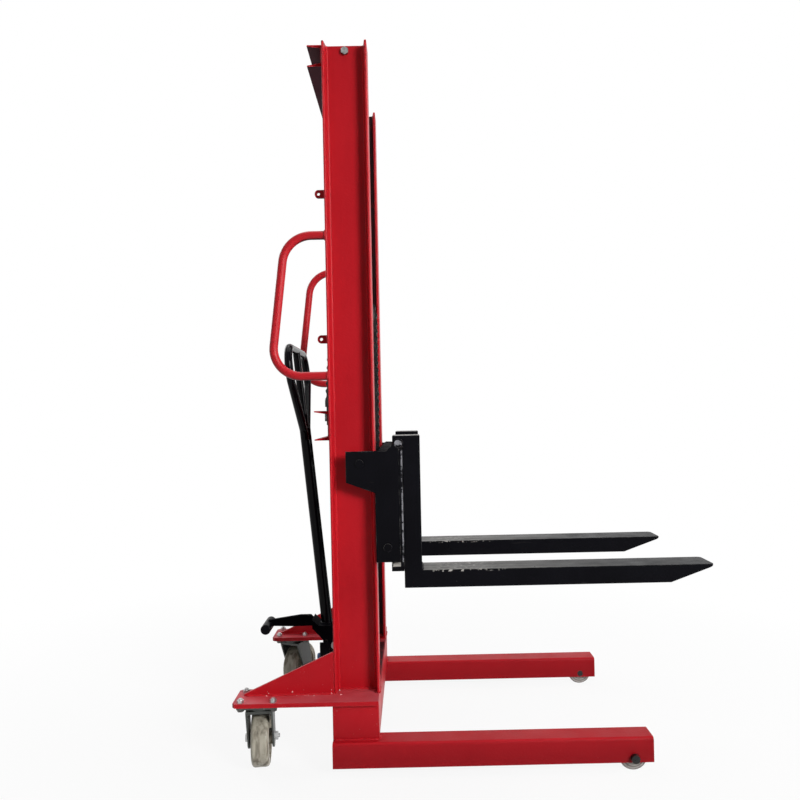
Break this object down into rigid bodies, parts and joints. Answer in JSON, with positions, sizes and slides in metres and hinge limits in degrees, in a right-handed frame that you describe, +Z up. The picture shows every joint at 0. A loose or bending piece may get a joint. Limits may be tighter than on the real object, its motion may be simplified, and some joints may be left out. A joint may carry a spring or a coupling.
{
  "type": "hand stacker",
  "caption": "Manual hydraulic hand stacker: I-beam mast on straddle legs, chain-lifted fork carriage, rocker pump with tiller and pedal, swivel casters.",
  "frame": {"origin": "on the floor, under the middle of the mast and midway between the uprights", "axes": "+X from the mast towards the fork tips, +Y to the left of someone who faces the forks, +Z up"},
  "size_m": [1.3833, 0.7854, 2.085],
  "materials": {
    "red_paint": "gloss red enamel",
    "black_paint": "semi-gloss black enamel",
    "caster_grey": "dark grey-green paint",
    "zinc": "zinc plated",
    "bare_steel": "machined steel",
    "chain_steel": "oiled dark steel",
    "wheel_nylon": "matt beige nylon",
    "roller_nylon": "matt grey nylon",
    "blue_plastic": "gloss blue"
  },
  "bodies": {
    "chassis": {"base_crossbeam": "red_paint", "base_end_plates": "red_paint", "base_gussets": "red_paint", "base_plates": "red_paint", "caster_bolts": "zinc", "caster_top_plates": "caster_grey", "chain_anchor": "chain_steel", "chain_rear_run": "chain_steel", "cylinder_foot": "black_paint", "cylinder_gland": "black_paint", "cylinder_tube": "black_paint", "frame_bolts": "zinc", "guard_lugs": "red_paint", "hand_bar_left": "red_paint", "hand_bar_right": "red_paint", "leg_left": "red_paint", "leg_right": "red_paint", "load_roller_axles": "chain_steel", "mast_cross_channels": "red_paint", "mast_upright_left": "red_paint", "mast_upright_right": "red_paint", "pump_body": "black_paint", "rocker_pivot_pin": "zinc", "top_tie_rod": "red_paint"},
    "plunger": {"plunger_rod": "bare_steel", "sheave_yoke": "black_paint", "sheave_pin": "bare_steel", "chain_wrap": "chain_steel"},
    "sheave": {"chain_sheave": "bare_steel"},
    "carriage": {"carriage_plate_left": "black_paint", "carriage_plate_right": "black_paint", "carriage_straps": "black_paint", "carriage_crossbars": "black_paint", "upper_fork_bar": "bare_steel", "lower_fork_bar": "black_paint", "roller_shafts": "black_paint", "chain_front_run": "chain_steel"},
    "rocker": {"rocker_yoke": "black_paint", "rocker_roller": "chain_steel", "tiller_tube": "black_paint", "handle_loop": "black_paint", "pedal_arm": "black_paint", "pedal_bar": "black_paint"},
    "pump_piston": {"pump_piston": "chain_steel"},
    "release_knob": {"release_knob": "blue_plastic"},
    "fork_right": {"fork_right": "black_paint"},
    "caster_right": {"caster_yoke_right": "caster_grey", "caster_axle_right": "zinc"},
    "caster_wheel_right": {"caster_wheel_right": "wheel_nylon"},
    "load_roller_right": {"load_roller_right": "roller_nylon"},
    "mast_roller_upper_right": {"mast_roller_upper_right": "bare_steel"},
    "mast_roller_lower_right": {"mast_roller_lower_right": "bare_steel"},
    "fork_left": {"fork_left": "black_paint"},
    "caster_left": {"caster_yoke_left": "caster_grey", "caster_axle_left": "zinc"},
    "caster_wheel_left": {"caster_wheel_left": "wheel_nylon"},
    "load_roller_left": {"load_roller_left": "roller_nylon"},
    "mast_roller_upper_left": {"mast_roller_upper_left": "bare_steel"},
    "mast_roller_lower_left": {"mast_roller_lower_left": "bare_steel"}
  },
  "joints": [
    {"name": "plunger_slide", "type": "slide", "parent": "chassis", "child": "plunger", "axis": [0, 0, 1], "range_m": [-0.232, 0.52], "deforming": ["chain_rear_run"]},
    {"name": "carriage_slide", "type": "slide", "parent": "plunger", "child": "carriage", "axis": [0, 0, 1], "range_m": [-0.234, 0.522], "deforming": ["chain_front_run"]},
    {"name": "sheave_turn", "type": "hinge", "parent": "plunger", "child": "sheave", "pos_m": [-0.0105, 0, 1.33], "axis": [0, 1, 0], "range_deg": [-440, 200]},
    {"name": "rocker_pivot", "type": "hinge", "parent": "chassis", "child": "rocker", "pos_m": [-0.088, 0, 0.268], "axis": [0, -1, 0], "range_deg": [0, 50], "stiffness_Nm_per_rad": 25, "springref_deg": -34.38},
    {"name": "pump_stroke", "type": "slide", "parent": "chassis", "child": "pump_piston", "axis": [0, 0, 1], "range_m": [-0.0258, 0.0004]},
    {"name": "release_turn", "type": "hinge", "parent": "chassis", "child": "release_knob", "pos_m": [-0.136, 0, 0.22], "axis": [-1, 0, 0], "range_deg": [0, 90]},
    {"name": "fork_right_shift", "type": "slide", "parent": "carriage", "child": "fork_right", "axis": [0, 1, 0], "range_m": [0, 0.13]},
    {"name": "caster_right_swivel", "type": "hinge", "parent": "chassis", "child": "caster_right", "pos_m": [-0.276, -0.3, 0.18], "axis": [0, 0, 1], "continuous": true},
    {"name": "caster_right_roll", "type": "hinge", "parent": "caster_right", "child": "caster_wheel_right", "pos_m": [-0.28039, -0.26427, 0.08], "axis": [-0.9925, -0.1219, 0], "continuous": true},
    {"name": "load_roller_right_roll", "type": "hinge", "parent": "chassis", "child": "load_roller_right", "pos_m": [0.773, -0.3225, 0.04], "axis": [0, 1, 0], "continuous": true},
    {"name": "mast_roller_upper_right_roll", "type": "hinge", "parent": "carriage", "child": "mast_roller_upper_right", "pos_m": [0.02136, -0.2745, 0.867], "axis": [0, 1, 0], "range_deg": [-830, 1840]},
    {"name": "mast_roller_lower_right_roll", "type": "hinge", "parent": "carriage", "child": "mast_roller_lower_right", "pos_m": [0.098, -0.2745, 0.626], "axis": [0, 1, 0], "range_deg": [-1840, 830]},
    {"name": "fork_left_shift", "type": "slide", "parent": "carriage", "child": "fork_left", "axis": [0, -1, 0], "range_m": [0, 0.13]},
    {"name": "caster_left_swivel", "type": "hinge", "parent": "chassis", "child": "caster_left", "pos_m": [-0.276, 0.3, 0.18], "axis": [0, 0, 1], "continuous": true},
    {"name": "caster_left_roll", "type": "hinge", "parent": "caster_left", "child": "caster_wheel_left", "pos_m": [-0.26193, 0.33314, 0.08], "axis": [-0.9205, 0.3907, 0], "continuous": true},
    {"name": "load_roller_left_roll", "type": "hinge", "parent": "chassis", "child": "load_roller_left", "pos_m": [0.773, 0.3225, 0.04], "axis": [0, 1, 0], "continuous": true},
    {"name": "mast_roller_upper_left_roll", "type": "hinge", "parent": "carriage", "child": "mast_roller_upper_left", "pos_m": [0.02136, 0.2745, 0.867], "axis": [0, 1, 0], "range_deg": [-830, 1840]},
    {"name": "mast_roller_lower_left_roll", "type": "hinge", "parent": "carriage", "child": "mast_roller_lower_left", "pos_m": [0.098, 0.2745, 0.626], "axis": [0, 1, 0], "range_deg": [-1840, 830]}
  ],
  "couplings": [
    {"joint": "carriage_slide", "follows": "plunger_slide", "ratio": 1},
    {"joint": "sheave_turn", "follows": "plunger_slide", "rad_per_m": -14.598},
    {"joint": "pump_stroke", "follows": "rocker_pivot", "m_per_rad": -0.029057},
    {"joint": "mast_roller_upper_right_roll", "follows": "plunger_slide", "rad_per_m": 61.538},
    {"joint": "mast_roller_lower_right_roll", "follows": "plunger_slide", "rad_per_m": -61.538},
    {"joint": "mast_roller_upper_left_roll", "follows": "plunger_slide", "rad_per_m": 61.538},
    {"joint": "mast_roller_lower_left_roll", "follows": "plunger_slide", "rad_per_m": -61.538}
  ]
}
